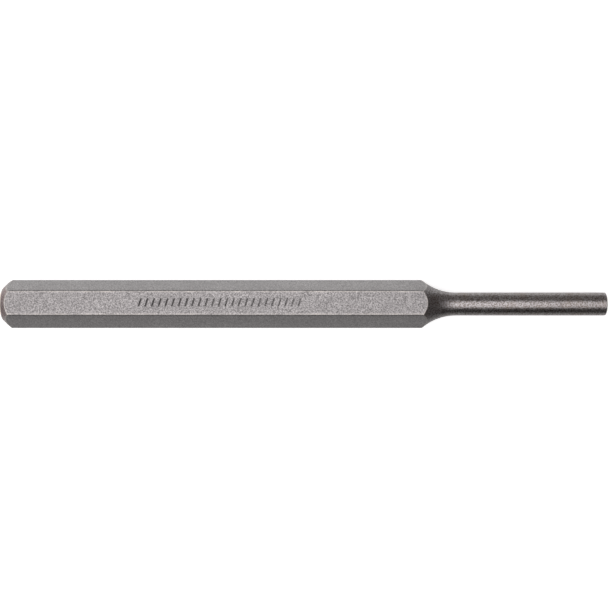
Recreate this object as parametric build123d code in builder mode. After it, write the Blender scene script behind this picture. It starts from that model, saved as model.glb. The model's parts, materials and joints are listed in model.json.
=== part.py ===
from build123d import *
import os
from math import cos, radians, sqrt, tan

# A one-piece steel pin punch. A hexagonal shank is bevelled and crowned where the hammer strikes it, and is
# turned down through a concave neck to a parallel pin. The long axis runs along X with the pin towards +X. The
# punch rests on one of its flats at Z = 0, and the origin is under the middle of its length.

# Bar and overall size
overall_length = 161.25
across_flats = 11.11  # 7/16 in hexagonal bar
edge_rounding = 0.12  # along the six long edges

# Struck end
bevel_angle = 43.0  # between the bevel and the long axis
face_diameter = 8.54
crown_height = 0.55

# Neck and pin
neck_radius = 14.0  # concave, tangent to the pin
pin_diameter = 6.15  # a little under 1/4 in, to follow a 1/4 in pin through its hole
pin_length = 39.9  # from the end of the neck to the tip
tip_chamfer = 0.2

# Room left around the bar's corners, so that only the ends are turned
turning_clearance = 0.5

# Worked out from the sizes above
axis_height = across_flats / 2
pin_radius = pin_diameter / 2
face_radius = face_diameter / 2
clear_radius = axis_height / cos(radians(30)) + turning_clearance
struck_x = -overall_length / 2
tip_x = overall_length / 2
face_edge_x = struck_x + crown_height
bevel_clear_x = face_edge_x + (clear_radius - face_radius) / tan(radians(bevel_angle))
crown_radius = (face_radius**2 + crown_height**2) / (2 * crown_height)
neck_end_x = tip_x - pin_length
neck_drop = neck_radius - (clear_radius - pin_radius)
neck_clear_x = neck_end_x - sqrt(neck_radius**2 - neck_drop**2)

long_axis_plane = Plane(origin=(0, 0, axis_height), x_dir=(1, 0, 0), z_dir=(0, -1, 0))
bar_end_plane = Plane(origin=(struck_x, 0, axis_height), x_dir=(0, 1, 0), z_dir=(1, 0, 0))

with BuildPart() as punch_body:
    # The bar, with two of its flats level
    with BuildSketch(bar_end_plane) as bar_section:
        RegularPolygon(radius=axis_height, side_count=6, major_radius=False)
        fillet(bar_section.vertices(), radius=edge_rounding)
    extrude(amount=overall_length)

    # The turned outline: crown, bevel, room for the shank, neck, pin and tip
    with BuildSketch(long_axis_plane) as turned_half:
        with BuildLine():
            RadiusArc((struck_x, 0), (face_edge_x, face_radius), crown_radius)
            Polyline(
                (face_edge_x, face_radius),
                (bevel_clear_x, clear_radius),
                (neck_clear_x, clear_radius),
            )
            RadiusArc((neck_clear_x, clear_radius), (neck_end_x, pin_radius), -neck_radius)
            Polyline(
                (neck_end_x, pin_radius),
                (tip_x - tip_chamfer, pin_radius),
                (tip_x, pin_radius - tip_chamfer),
                (tip_x, 0),
                (struck_x, 0),
            )
        make_face()
    revolve(axis=Axis(origin=(0, 0, axis_height), direction=(1, 0, 0)), mode=Mode.INTERSECT)

punch_body.part.label = "punch_body"

os.makedirs("parts", exist_ok=True)
export_step(punch_body.part, "parts/punch_body.step")
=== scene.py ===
import json
from math import asin, atan2, ceil, cos, hypot, pi, radians, sin, sqrt, tan

import bpy
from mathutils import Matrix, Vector, noise


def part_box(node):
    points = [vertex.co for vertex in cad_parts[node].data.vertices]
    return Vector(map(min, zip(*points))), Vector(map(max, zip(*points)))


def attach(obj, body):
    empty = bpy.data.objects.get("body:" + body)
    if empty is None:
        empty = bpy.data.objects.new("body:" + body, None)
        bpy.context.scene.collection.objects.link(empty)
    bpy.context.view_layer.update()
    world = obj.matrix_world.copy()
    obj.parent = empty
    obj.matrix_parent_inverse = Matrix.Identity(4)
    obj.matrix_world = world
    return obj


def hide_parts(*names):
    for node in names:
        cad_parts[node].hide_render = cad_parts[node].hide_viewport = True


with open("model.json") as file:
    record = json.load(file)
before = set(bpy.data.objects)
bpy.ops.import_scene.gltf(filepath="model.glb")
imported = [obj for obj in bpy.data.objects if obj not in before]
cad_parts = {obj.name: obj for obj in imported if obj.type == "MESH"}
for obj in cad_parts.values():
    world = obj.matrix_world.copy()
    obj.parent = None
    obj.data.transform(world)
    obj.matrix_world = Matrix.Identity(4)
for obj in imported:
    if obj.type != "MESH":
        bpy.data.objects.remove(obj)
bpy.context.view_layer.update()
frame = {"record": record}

# Metres. The punch lies along X with its pin towards +X and one flat down on Z = 0.
MM = 0.001

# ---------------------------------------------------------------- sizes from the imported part
body_low, body_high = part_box("punch_body")
mounts = {mount["name"]: mount for mount in frame["record"]["mounts"]}
drive_pin = mounts["drive_pin"]

STRUCK_X = body_low.x
TIP_X = body_high.x
AXIS_Z = (body_low.z + body_high.z) / 2
APOTHEM = (body_high.z - body_low.z) / 2  # from the axis to a flat
PIN_RADIUS = drive_pin["dims"]["r_mm"] * MM
NECK_END_X = drive_pin["pos_m"][0] - drive_pin["dims"]["length_mm"] * MM / 2

# ---------------------------------------------------------------- sizes of the finished surface
EDGE_RADIUS = 0.12 * MM  # along the six long edges
BEVEL_ANGLE = radians(43)  # from the long axis
FACE_RADIUS = 4.27 * MM
CROWN_HEIGHT = 0.55 * MM
NECK_RADIUS = 14.0 * MM
SURFACE_INSET = 0.001 * MM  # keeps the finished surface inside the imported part

FACE_EDGE_X = STRUCK_X + CROWN_HEIGHT
CROWN_RADIUS = (FACE_RADIUS**2 + CROWN_HEIGHT**2) / (2 * CROWN_HEIGHT)

# How far the worn corners reach along each surface
SCALLOP_BREAK = 0.16 * MM  # where the flats end, at the bevel and at the neck
FACE_BREAK = 0.35 * MM
TIP_BREAK = 0.25 * MM

# The faint unevenness of rolled bar
WAVE_DEPTH = 0.008 * MM
WAVES_ALONG = 60  # per metre
WAVES_ROUND = 150  # per metre

# Stamped hatch on the upper flat: an even line of slanted strokes
HATCH_START_X = -43.0 * MM
HATCH_MIDDLE_Y = 0.2 * MM
HATCH_PITCH = 1.75 * MM
HATCH_COUNT = 25
HATCH_HEIGHT = 2.4 * MM
HATCH_SLANT = tan(radians(18))
LEAN_FADE = 8.0 * MM  # past the hatch, the slant of the rows dies away over this length
STROKE_HALF_WIDTH = 0.31 * MM
STROKE_DEPTH = 0.18 * MM
STROKE_END_SHARE = 0.25  # share of the half height over which a stroke runs out
LAST_STROKE_SHARE = 0.65  # the strokes get shallower towards the pin

# ---------------------------------------------------------------- wear and shade
# Finishes, as material numbers
BAR, TURNED, STRUCK, BEVEL = 0, 1, 2, 3

# Wear runs from 0 to 1, fully worn. Along the long edges and at the tip's edge the same value also paints a
# highlight.
SCALLOP_WEAR = 1.0
FACE_EDGE_WEAR = 0.4
# The tip's pale edge: wear, and partly a painted highlight of its corner catching the light.
TIP_EDGE_WEAR_AND_HIGHLIGHT = 0.6
WEAR_REACH = 0.35 * MM  # from the corner of a scallop to where its wear has died away

# Shade runs from 0 to 1, the painted shade of a stamped stroke. The long edges get painted shade too, and on
# the bevel and the neck it comes with an oxide tint.
EDGE_SHADE = 0.42
# The bevel and the neck are darkened: an oxide tint the steel has there, and painted shade.
BEVEL_SHADE = 0.45
NECK_SHADE = 0.52  # at the scallop, and none at the pin

# The long edges get painted shade along their rounding. Every other flat is blasted and has a bright worn
# line beside that painted shade, partly wear and partly a painted highlight. On the plain flats between them
# the painted shade fades slowly. Distances go in from the edge of a flat.
EDGE_DARK_REACH = 0.04 * MM
EDGE_FADE = 0.08 * MM
EDGE_WORN_HIGHLIGHT_REACH = 0.35 * MM
SIDE_DARK_REACH = 0.62 * MM

# Smooth runs from 0 on a blasted flat to 1 on a plain one, where the grain is weaker
EDGE_SMOOTH = 0.5

# The grain's directions, turned so that they aren't lined up with the bar
GRAIN_TURN = (0.7, 0.4, 1.1)  # radians

# ---------------------------------------------------------------- how finely the surface is divided
FLAT_COLUMNS = 20
HATCHED_FLAT_COLUMNS = 60
EDGE_COLUMNS = 4
CROWN_STEPS = 10
BEVEL_STEPS = 6
NECK_STEPS = 28
PIN_STEPS = 60
TIP_STEPS = 6
CORNER_STEPS = 5
STATION_PITCH = 1.5 * MM  # along the shank on both sides of the hatch
STROKE_STATIONS = (-1.6, -1, -0.66, -0.33, 0, 0.33, 0.66, 1, 1.6)  # a stroke goes from -1 to 1
OFF_STROKE = 2  # anywhere outside that

# The length of shank between the two scalloped ends
SHANK_START_X = STRUCK_X + 3.6 * MM
SHANK_END_X = NECK_END_X - 9.8 * MM

# ---------------------------------------------------------------- camera and light
CAMERA_ELEVATION = radians(87)
CAMERA_DISTANCE = 0.335
CAMERA_AIM = Vector((0.20 * MM, 0, AXIS_Z))
FRAME_WIDTH = 0.16241  # width of the view at the punch's axis
SENSOR_WIDTH_MM = 36.0

SOFTBOX_WIDTH = 0.76
SOFTBOX_DEPTH = 0.57
SOFTBOX_PLACE = (-0.11, -0.105, 0.50)
SOFTBOX_RADIANCE = 1.95
SOFTBOX_COLOUR = (1.02, 1.0, 1.01)

FLOOR_REACH = 6.0

# Glow of the floor as the camera sees it, near the punch and far from it
SEEN_GLOW_NEAR = 0.62
SEEN_GLOW_FAR = 1.0
SEEN_GLOW_START = 0.1  # from the middle of the punch
SEEN_GLOW_END = 1.0

# Glow of the floor as the steel reflects it, as (Y, glow)
GLOW_STOPS = (
    (-60 * MM, 0.04),
    (-22 * MM, 0.52),
    (-8 * MM, 0.82),
    (5 * MM, 0.95),
    (20 * MM, 1.42),
    (70 * MM, 0.60),
)
GLOW_PIN_END = 0.78  # share of the glow that is left past the shank
GLOW_FADE = 4.0 * MM  # length over which the glow drops to that share

# Brightness of the room as the steel reflects it, and as the camera sees it
ROOM_FRONT = 0.04
ROOM_BACK = 0.26
ROOM_PIN_END = 0.18
ROOM_STRUCK_END = 0.50
BACKDROP = 1.0


# ---------------------------------------------------------------- outline of the turned ends
def shares(count):
    """0 to 1 in count equal steps, both ends included."""
    return [step / count for step in range(count + 1)]


def between(start, end, share):
    """The point this share of the way from start to end."""
    return tuple(a + (b - a) * share for a, b in zip(start, end))


def toward(start, end, distance):
    """The point this distance from start on the way to end."""
    return between(start, end, distance / hypot(end[0] - start[0], end[1] - start[1]))


def broken_corner(before, corner, after):
    """A worn corner: a curve from before to after that bends at corner."""
    curve = []
    for share in shares(CORNER_STEPS):
        curve.append(between(between(before, corner, share), between(corner, after, share), share))
    return curve


def crown_x(radius):
    return STRUCK_X + CROWN_RADIUS - sqrt(CROWN_RADIUS**2 - radius**2)


def bevel_x(radius):
    return FACE_EDGE_X + (radius - FACE_RADIUS) / tan(BEVEL_ANGLE)


def neck_point(turn):
    """A point of the neck's arc, turn radians back from where it meets the pin."""
    return (NECK_END_X - NECK_RADIUS * sin(turn), PIN_RADIUS + NECK_RADIUS * (1 - cos(turn)))


def neck_turn(radius):
    """How far back along the neck's arc, in radians, its surface is radius from the axis."""
    drop = NECK_RADIUS - (radius - PIN_RADIUS)
    return asin(sqrt(NECK_RADIUS**2 - drop**2) / NECK_RADIUS)


def tagged(points, finish, wear=0.0, shade=0.0):
    """Outline points as (x, radius, finish, wear and painted highlight, painted shade). The finish is that of
    the band after the point.
    """
    return [(x, radius, finish, wear, shade) for x, radius in points]


def head_outline(bar_radius):
    """From the summit of the crown to the shank, where the bar's own surface is bar_radius from the axis."""
    summit_reach = FACE_RADIUS - FACE_BREAK
    crown = [(crown_x(summit_reach * share), summit_reach * share) for share in shares(CROWN_STEPS)]
    face_edge = (FACE_EDGE_X, FACE_RADIUS)
    bevel_top = (bevel_x(bar_radius), bar_radius)
    bevel_first = toward(face_edge, bevel_top, FACE_BREAK)
    bevel_last = toward(bevel_top, face_edge, SCALLOP_BREAK)
    bevel = [between(bevel_first, bevel_last, share) for share in shares(BEVEL_STEPS)]
    shank_first = (bevel_top[0] + SCALLOP_BREAK, bar_radius)
    return (
        tagged(crown[:-1], STRUCK)
        + tagged(broken_corner(crown[-1], face_edge, bevel_first)[:-1], STRUCK, FACE_EDGE_WEAR)
        + tagged(bevel[:-1], BEVEL, 0.0, BEVEL_SHADE)
        + tagged(broken_corner(bevel_last, bevel_top, shank_first), BAR, SCALLOP_WEAR)
        + tagged([(bevel_top[0] + WEAR_REACH, bar_radius)], BAR)
    )


def tail_outline(bar_radius):
    """From the shank to the middle of the tip, where the bar's own surface is bar_radius from the axis."""
    start_turn = neck_turn(bar_radius)
    neck_top = neck_point(start_turn)
    first_turn = start_turn - SCALLOP_BREAK / NECK_RADIUS
    shank_last = (neck_top[0] - SCALLOP_BREAK, bar_radius)
    neck = [neck_point(first_turn * (1 - share)) for share in shares(NECK_STEPS)]
    neck_shades = [NECK_SHADE * (1 - share) for share in shares(NECK_STEPS)]
    neck_band = [(*point, TURNED, 0.0, shade) for point, shade in zip(neck, neck_shades)]
    pin_end = (TIP_X - TIP_BREAK, PIN_RADIUS)
    tip_edge = (TIP_X, PIN_RADIUS - TIP_BREAK)
    pin = [between(neck[-1], pin_end, share) for share in shares(PIN_STEPS)]
    tip = [between(tip_edge, (TIP_X, 0), share) for share in shares(TIP_STEPS)]
    return (
        tagged([(neck_top[0] - WEAR_REACH, bar_radius)], BAR)
        + tagged(broken_corner(shank_last, neck_top, neck[0])[:-1], BAR, SCALLOP_WEAR)
        + neck_band[:-1]
        + tagged(pin[:-1], TURNED)
        + tagged(broken_corner(pin_end, (TIP_X, PIN_RADIUS), tip_edge), TURNED, TIP_EDGE_WEAR_AND_HIGHLIGHT)
        + tagged(tip[1:], TURNED)
    )


# ---------------------------------------------------------------- section of the bar
def ramp(value, start, end):
    """0 before start, 1 after end and a straight slope between them."""
    return min(1, max(0, (value - start) / (end - start)))


def edge_finish(inset, blasted):
    """(wear and painted highlight, painted shade, smooth) at this distance in from a flat's edge, on a
    blasted flat or a plain one.
    """
    if not blasted:
        return 0.0, EDGE_SHADE * (1 - ramp(inset, 0, SIDE_DARK_REACH)), 1.0
    past_dark = ramp(inset, EDGE_DARK_REACH, EDGE_DARK_REACH + EDGE_FADE)
    past_worn_highlight = ramp(inset, EDGE_WORN_HIGHLIGHT_REACH - EDGE_FADE, EDGE_WORN_HIGHLIGHT_REACH)
    return past_dark * (1 - past_worn_highlight), EDGE_SHADE * (1 - past_dark), 0.0


def bar_section():
    """Points once round the bar as (y, height above the axis, wear and painted highlight, painted shade,
    smooth).
    """
    apothem = APOTHEM - SURFACE_INSET
    half_flat = (apothem - EDGE_RADIUS) * tan(radians(30))
    edge_centre = (apothem - EDGE_RADIUS) / cos(radians(30))
    upper_side = 1
    points = []
    for side in range(6):
        facing = radians(30 + 60 * side)
        blasted = side % 2 == upper_side
        columns = HATCHED_FLAT_COLUMNS if side == upper_side else FLAT_COLUMNS
        for share in shares(columns):
            along = half_flat * cos(pi * share)
            y = apothem * cos(facing) + along * sin(facing)
            height = apothem * sin(facing) - along * cos(facing)
            points.append((y, height, *edge_finish(half_flat - abs(along), blasted)))
        corner = facing + radians(30)
        for share in shares(EDGE_COLUMNS)[1:-1]:
            turn = facing + radians(60) * share
            y = edge_centre * cos(corner) + EDGE_RADIUS * cos(turn)
            height = edge_centre * sin(corner) + EDGE_RADIUS * sin(turn)
            points.append((y, height, 0.0, EDGE_SHADE, EDGE_SMOOTH))
    return points


# ---------------------------------------------------------------- length of the bar
def plain_stations(start, end):
    """Evenly spaced places along the shank, clear of the strokes."""
    count = ceil((end - start) / STATION_PITCH)
    return [(start + (end - start) * share, OFF_STROKE, 0) for share in shares(count)]


def shank_stations():
    """Places along the shank as (x, place across a stroke, its depth)."""
    stations = []
    for stroke in range(HATCH_COUNT):
        middle = HATCH_START_X + stroke * HATCH_PITCH
        depth = STROKE_DEPTH * (1 - (1 - LAST_STROKE_SHARE) * stroke / (HATCH_COUNT - 1))
        for across in STROKE_STATIONS:
            stations.append((middle + across * STROKE_HALF_WIDTH, across, depth))
    first, last = stations[0][0], stations[-1][0]
    before = plain_stations(SHANK_START_X, first)[:-1]
    after = plain_stations(last, SHANK_END_X)[1:]
    return before + stations + after


def hatch_lean(x, y, height):
    """How far a station leans along X at this point, so that the strokes slant."""
    hatch_end_x = HATCH_START_X + (HATCH_COUNT - 1) * HATCH_PITCH
    off_hatch = max(0, HATCH_START_X - x, x - hatch_end_x)
    along = max(0, 1 - off_hatch / LEAN_FADE)
    around = max(0, height / APOTHEM)
    return HATCH_SLANT * y * along * around


def stroke_share(across, y, height):
    """How much of a stroke's full depth is reached: rounded in section and at both ends."""
    off_middle = abs(y - HATCH_MIDDLE_Y) / (HATCH_HEIGHT / 2)
    if abs(across) >= 1 or height < APOTHEM - EDGE_RADIUS or off_middle >= 1:
        return 0
    return cos(across * pi / 2) ** 2 * min(1, (1 - off_middle) / STROKE_END_SHARE)


def rolled_wave(x, y, height):
    """How far the unevenness of rolled bar goes inwards at this point."""
    place = Vector((x * WAVES_ALONG, y * WAVES_ROUND, height * WAVES_ROUND))
    return WAVE_DEPTH * (0.5 + 0.5 * noise.noise(place))


# ---------------------------------------------------------------- the punch's mesh
def punch_rows():
    """Rings of (position, wear and painted highlight, painted shade, smooth) from crown to tip, and the
    finish of the band after each.
    """
    section = bar_section()
    turns = [atan2(height, y) for y, height, *_ in section]
    reaches = [hypot(y, height) for y, height, *_ in section]
    heads = [head_outline(reach) for reach in reaches]
    tails = [tail_outline(reach) for reach in reaches]

    def turned_row(outlines, step):
        ring = []
        for turn, outline, (_, _, edge_wear_and_highlight, edge_shade, smooth) in zip(turns, outlines, section):
            x, radius, finish, wear, shade = outline[step]
            if finish == BAR:
                shade = 0 if wear == SCALLOP_WEAR else edge_shade
                wear = max(wear, edge_wear_and_highlight)
            place = Vector((x, radius * cos(turn), AXIS_Z + radius * sin(turn)))
            ring.append((place, wear, shade, smooth))
        return ring, outlines[0][step][2]

    def shank_row(x, across, full_depth):
        ring = []
        for y, height, wear, shade, smooth in section:
            depth = full_depth * stroke_share(across, y, height)
            shrink = 1 - rolled_wave(x, y, height) / hypot(y, height)
            place = Vector((x + hatch_lean(x, y, height), y * shrink, AXIS_Z + height * shrink - depth))
            ring.append((place, wear, max(shade, depth / STROKE_DEPTH), smooth))
        return ring, BAR

    rows = [turned_row(heads, step) for step in range(len(heads[0]))]
    rows += [shank_row(*station) for station in shank_stations()]
    rows += [turned_row(tails, step) for step in range(len(tails[0]))]
    return rows


def punch_points(rows):
    """Every point of the rows in order. The first and last rings have no width and give one point each."""
    points = [rows[0][0][0]]
    for ring, _ in rows[1:-1]:
        points += ring
    points.append(rows[-1][0][0])
    return points


def punch_faces(rows):
    """The faces between punch_points, with a fan at each end, and the finish of each face."""
    columns = len(rows[0][0])
    last_point = 1 + (len(rows) - 2) * columns
    faces, finishes = [], []
    for column in range(columns):
        following = (column + 1) % columns
        faces.append((0, 1 + following, 1 + column))
        finishes.append(rows[0][1])
        for step in range(len(rows) - 3):
            near, far = 1 + step * columns, 1 + (step + 1) * columns
            faces.append((near + column, near + following, far + following, far + column))
            finishes.append(rows[step + 1][1])
        near = last_point - columns
        faces.append((near + column, near + following, last_point))
        finishes.append(rows[-2][1])
    return faces, finishes


def build_punch(materials):
    rows = punch_rows()
    places, *surface = zip(*punch_points(rows))
    faces, finishes = punch_faces(rows)
    mesh = bpy.data.meshes.new("punch")
    mesh.from_pydata(places, [], faces)
    for material in materials:
        mesh.materials.append(material)
    mesh.polygons.foreach_set("material_index", finishes)
    for name, values in zip(("wear", "shade", "smooth"), surface):
        mesh.attributes.new(name, "FLOAT", "POINT").data.foreach_set("value", values)
    mesh.shade_smooth()
    mesh.update()
    punch = bpy.data.objects.new("steel_punch", mesh)
    bpy.context.scene.collection.objects.link(punch)
    even_normals = punch.modifiers.new("even_normals", "WEIGHTED_NORMAL")
    even_normals.weight = 80  # over 50, so that the large faces lead
    return punch


# ---------------------------------------------------------------- nodes of materials and the world
def grey(value, red=1.0, blue=1.0):
    """A grey with its red and blue scaled."""
    return (value * red, value, value * blue, 1.0)


class Nodes:
    """Short names for the nodes of a material or world. A value may be a number, a colour or a socket."""

    def __init__(self, owner, coordinates):
        self.owner = owner
        self.tree = owner.node_tree
        self.place = self.add("ShaderNodeTexCoord").outputs[coordinates]

    def add(self, kind, links=(), **values):
        node = self.tree.nodes.new(kind)
        for name, value in values.items():
            setattr(node, name, value)
        for socket, value in dict(links).items():
            self.join(value, node.inputs[socket])
        return node

    def join(self, value, socket):
        if isinstance(value, bpy.types.NodeSocket):
            self.tree.links.new(value, socket)
        else:
            socket.default_value = value

    def spread(self, value, low, high, start=0.3, end=0.7):
        """Maps a value from start..end to low..high, held at both ends."""
        inputs = {"Value": value, "From Min": start, "From Max": end, "To Min": low, "To Max": high}
        return self.add("ShaderNodeMapRange", inputs).outputs["Result"]

    def mix(self, share, first, second):
        node = self.add("ShaderNodeMix", data_type="RGBA")
        for name, value in (("Factor", share), ("A", first), ("B", second)):
            self.join(value, next(socket for socket in node.inputs if socket.name == name and socket.enabled))
        return next(socket for socket in node.outputs if socket.enabled)

    def times(self, first, second):
        node = self.add("ShaderNodeMath", operation="MULTIPLY")
        self.join(first, node.inputs[0])
        self.join(second, node.inputs[1])
        return node.outputs[0]

    def seen(self):
        """1 where the camera looks straight at the floor or the world, and 0 in reflections and as light."""
        return self.add("ShaderNodeLightPath").outputs["Is Camera Ray"]


class Surface(Nodes):
    """A new material. Noise scales are per metre, in directions turned off the bar's own unless stretched."""

    def __init__(self, name):
        material = bpy.data.materials.new(name)
        material.use_nodes = True
        super().__init__(material, "Object")
        self.shader = self.tree.nodes["Principled BSDF"]
        turned = self.add("ShaderNodeMapping", {"Vector": self.place, "Rotation": GRAIN_TURN})
        self.turned_place = turned.outputs["Vector"]

    def attribute(self, name):
        return self.add("ShaderNodeAttribute", attribute_name=name).outputs["Fac"]

    def stretched(self, factors):
        return self.add("ShaderNodeMapping", {"Vector": self.place, "Scale": factors}).outputs["Vector"]

    def noise(self, scale, detail=3.0, roughness=0.6, vector=None):
        place = vector or self.turned_place
        inputs = {"Vector": place, "Scale": scale, "Detail": detail, "Roughness": roughness}
        return self.add("ShaderNodeTexNoise", inputs).outputs["Fac"]

    def bump(self, height, distance, strength, normal=None):
        inputs = {"Height": height, "Distance": distance, "Strength": strength}
        node = self.add("ShaderNodeBump", inputs)
        if normal:
            self.join(normal, node.inputs["Normal"])
        return node.outputs["Normal"]

    def metal(self, colour, roughness, normal):
        self.shader.inputs["Metallic"].default_value = 1.0
        self.join(colour, self.shader.inputs["Base Color"])
        self.join(roughness, self.shader.inputs["Roughness"])
        self.join(normal, self.shader.inputs["Normal"])
        return self.owner


# ---------------------------------------------------------------- materials
def bar_steel():
    """Hexagonal bar: a fine bright grain, weaker on the plain flats, pale wear that is partly a painted
    highlight along the long edges, and painted shade in the stamped strokes and along the edges.
    """
    steel = Surface("bar_steel")
    grain = steel.noise(3000, detail=2.0, roughness=0.7)
    patches = steel.noise(160)
    streaks = steel.noise(1, detail=2.0, vector=steel.stretched((30, 1100, 1100)))
    colour = steel.mix(steel.spread(grain, 0, 1, 0.38, 0.62), grey(0.20, 1.04), grey(0.66, 1.03))
    colour = steel.mix(steel.times(steel.attribute("smooth"), 0.4), colour, grey(0.43, 1.02))
    colour = steel.mix(steel.spread(patches, 0, 0.3), colour, grey(0.31, 1.04))
    colour = steel.mix(steel.spread(streaks, 0.25, 0), colour, grey(0.30, 1.02))
    # Pale worn corners at the scallops. Along the long edges this pale line is partly a painted highlight.
    worn_and_highlight = steel.times(steel.attribute("wear"), steel.spread(steel.noise(420), 0.15, 0.85))
    colour = steel.mix(worn_and_highlight, colour, grey(0.41, 1.08, 0.92))
    # Painted shade: dark in the stamped strokes and along the long edges.
    colour = steel.mix(steel.attribute("shade"), colour, grey(0.045, 1.05))
    roughness = steel.spread(worn_and_highlight, 0.64, 0.30, 0, 0.9)
    normal = steel.bump(patches, 0.05 * MM, 0.4)
    normal = steel.bump(grain, 0.05 * MM, 0.8, normal)
    return steel.metal(colour, roughness, normal)


def turned_steel(name, oxide_and_shade):
    """Turned and hardened steel: darker, with fine rings round the axis, warm patches, a pale tip edge that
    is partly a painted highlight, and an oxide tint that also paints shade.
    """
    steel = Surface(name)
    grain = steel.noise(2900, detail=1.0)
    rings = steel.noise(1, vector=steel.stretched((5200, 260, 260)))
    patches = steel.noise(210)
    colour = steel.mix(steel.spread(grain, 0, 1, 0.38, 0.62), grey(0.13, 1.19, 0.94), grey(0.40, 1.035))
    colour = steel.mix(steel.spread(patches, 0, 0.5, 0.5, 0.7), colour, grey(0.21, 1.2, 0.86))
    # The pale tip edge: wear, and partly a painted highlight.
    worn_and_highlight = steel.times(steel.attribute("wear"), steel.spread(steel.noise(900), 0.2, 0.8))
    colour = steel.mix(worn_and_highlight, colour, grey(0.50, 1.05))
    # Where the shade attribute asks for it, the oxide tint darkens the neck and the bevel as painted shade.
    colour = steel.mix(steel.attribute("shade"), colour, oxide_and_shade)
    roughness = steel.spread(steel.noise(600), 0.28, 0.38)
    normal = steel.bump(rings, 0.015 * MM, 0.5)
    normal = steel.bump(grain, 0.06 * MM, 1.0, normal)
    return steel.metal(colour, roughness, normal)


def struck_steel():
    """The crowned face: straw-tinted by tempering, with the shallow marks of light hammer blows."""
    steel = Surface("struck_steel")
    grain = steel.noise(1900)
    marks = steel.noise(520, detail=2.0)
    colour = steel.mix(steel.spread(marks, 0, 1), grey(0.34, 1.14, 0.84), grey(0.47, 1.11, 0.86))
    worn_and_highlight = steel.times(steel.attribute("wear"), 0.8)
    colour = steel.mix(worn_and_highlight, colour, grey(0.55, 1.12, 0.74))
    roughness = steel.spread(steel.noise(800), 0.26, 0.42)
    normal = steel.bump(marks, 0.08 * MM, 0.7)
    normal = steel.bump(grain, 0.03 * MM, 0.5, normal)
    return steel.metal(colour, roughness, normal)


def floor_paper():
    """A pale floor that glows like a light table. The camera sees it white, the steel reflects it uneven."""
    paper = Surface("floor_paper")
    tooth = paper.noise(400, detail=2.0)
    paper.join(paper.mix(tooth, grey(0.78), grey(0.82)), paper.shader.inputs["Base Color"])
    paper.shader.inputs["Roughness"].default_value = 0.9
    paper.shader.inputs["Specular IOR Level"].default_value = 0.1
    paper.shader.inputs["Emission Color"].default_value = grey(1.0)
    away = paper.add("ShaderNodeVectorMath", {"Vector": paper.place}, operation="LENGTH").outputs["Value"]
    seen_glow = paper.spread(away, SEEN_GLOW_NEAR, SEEN_GLOW_FAR, SEEN_GLOW_START, SEEN_GLOW_END)
    paper.join(seen_glow, paper.shader.inputs["Emission Strength"])
    choice = paper.add("ShaderNodeMixShader", {"Fac": paper.seen()})
    paper.join(reflected_glow(paper), choice.inputs[1])
    paper.join(paper.shader.outputs[0], choice.inputs[2])
    paper.join(choice.outputs[0], paper.tree.nodes["Material Output"].inputs["Surface"])
    return paper.owner


def reflected_glow(paper):
    """The glow of GLOW_STOPS across the floor, weaker past the shank."""
    place = paper.add("ShaderNodeSeparateXYZ", {"Vector": paper.place}).outputs
    first, last = GLOW_STOPS[0][0], GLOW_STOPS[-1][0]
    profile = paper.add("ShaderNodeValToRGB", {"Fac": paper.spread(place["Y"], 0, 1, first, last)})
    stops = profile.color_ramp.elements
    while len(stops) < len(GLOW_STOPS):
        stops.new(0.5)
    for stop, (y, glow) in zip(stops, GLOW_STOPS):
        stop.position = (y - first) / (last - first)
        stop.color = grey(glow)
    strength = paper.spread(place["X"], 1.0, GLOW_PIN_END, SHANK_END_X, SHANK_END_X + GLOW_FADE)
    inputs = {"Color": profile.outputs["Color"], "Strength": strength}
    return paper.add("ShaderNodeEmission", inputs).outputs[0]


# ---------------------------------------------------------------- studio
def build_floor():
    mesh = bpy.data.meshes.new("floor")
    signs = ((-1, -1), (1, -1), (1, 1), (-1, 1))
    corners = [(x * FLOOR_REACH, y * FLOOR_REACH, body_low.z) for x, y in signs]
    mesh.from_pydata(corners, [], [(0, 1, 2, 3)])
    mesh.materials.append(floor_paper())
    floor = bpy.data.objects.new("floor", mesh)
    bpy.context.scene.collection.objects.link(floor)


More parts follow.
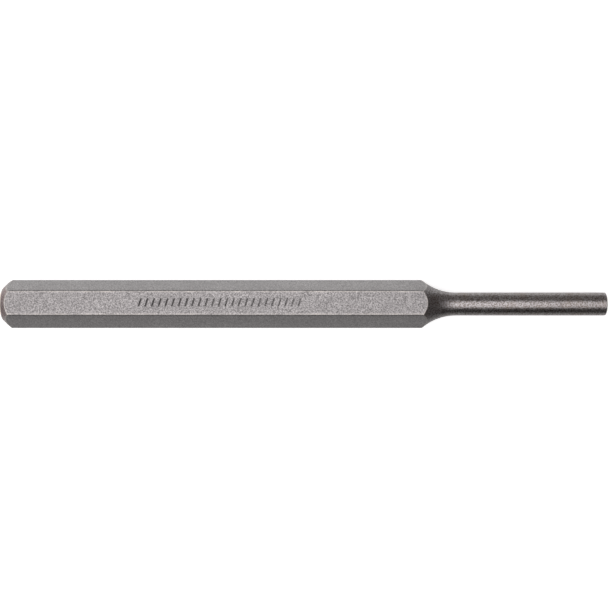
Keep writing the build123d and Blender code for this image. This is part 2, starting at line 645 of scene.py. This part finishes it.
def build_softbox():
    light = bpy.data.lights.new("softbox", "AREA")
    light.shape = "RECTANGLE"
    light.color = SOFTBOX_COLOUR
    light.size = SOFTBOX_WIDTH
    light.size_y = SOFTBOX_DEPTH
    light.energy = SOFTBOX_RADIANCE * pi * SOFTBOX_WIDTH * SOFTBOX_DEPTH
    softbox = bpy.data.objects.new("softbox", light)
    softbox.location = SOFTBOX_PLACE
    softbox.visible_camera = False
    bpy.context.scene.collection.objects.link(softbox)


def build_world():
    """A white room to the camera. To the steel it is dim, paler behind and past both ends of the punch."""
    world = bpy.data.worlds.new("studio")
    world.use_nodes = True
    sky = Nodes(world, "Generated")
    direction = sky.add("ShaderNodeSeparateXYZ", {"Vector": sky.place}).outputs
    behind = sky.spread(direction["Y"], 0, 1, 0.1, 0.8)
    past_pin = sky.spread(direction["X"], 0, 1, 0.3, 0.85)
    past_struck_end = sky.spread(direction["X"], 0, 1, -0.3, -0.85)
    raised = sky.spread(direction["Z"], 0.45, 1, 0.1, 0.4)
    room = sky.mix(behind, grey(ROOM_FRONT, 1.08, 0.98), grey(ROOM_BACK, 1.06, 0.98))
    room = sky.mix(past_pin, room, grey(ROOM_PIN_END, 1.08, 0.98))
    room = sky.mix(sky.times(past_struck_end, raised), room, grey(ROOM_STRUCK_END, 1.12))
    backdrop = sky.mix(sky.seen(), room, grey(BACKDROP))
    sky.join(backdrop, sky.tree.nodes["Background"].inputs["Color"])
    bpy.context.scene.world = world


def build_camera():
    data = bpy.data.cameras.new("camera")
    data.sensor_width = SENSOR_WIDTH_MM
    data.lens = SENSOR_WIDTH_MM * CAMERA_DISTANCE / FRAME_WIDTH
    camera = bpy.data.objects.new("camera", data)
    back = Vector((0, -cos(CAMERA_ELEVATION), sin(CAMERA_ELEVATION)))
    camera.location = CAMERA_AIM + back * CAMERA_DISTANCE
    camera.rotation_mode = "QUATERNION"
    camera.rotation_quaternion = (-back).to_track_quat("-Z", "Y")
    bpy.context.scene.collection.objects.link(camera)
    bpy.context.scene.camera = camera


build_camera()
build_world()
build_softbox()
build_floor()
bpy.context.scene.view_settings.view_transform = "Standard"

# The last colour of each turned steel is an oxide tint that also paints shade on the neck and the bevel.
punch = build_punch(
    [
        bar_steel(),
        turned_steel("turned_steel", grey(0.07, 1.12, 1.05)),
        struck_steel(),
        turned_steel("bevel_steel", grey(0.09, 2.0, 1.0)),
    ]
)
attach(punch, "root")
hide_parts("punch_body")
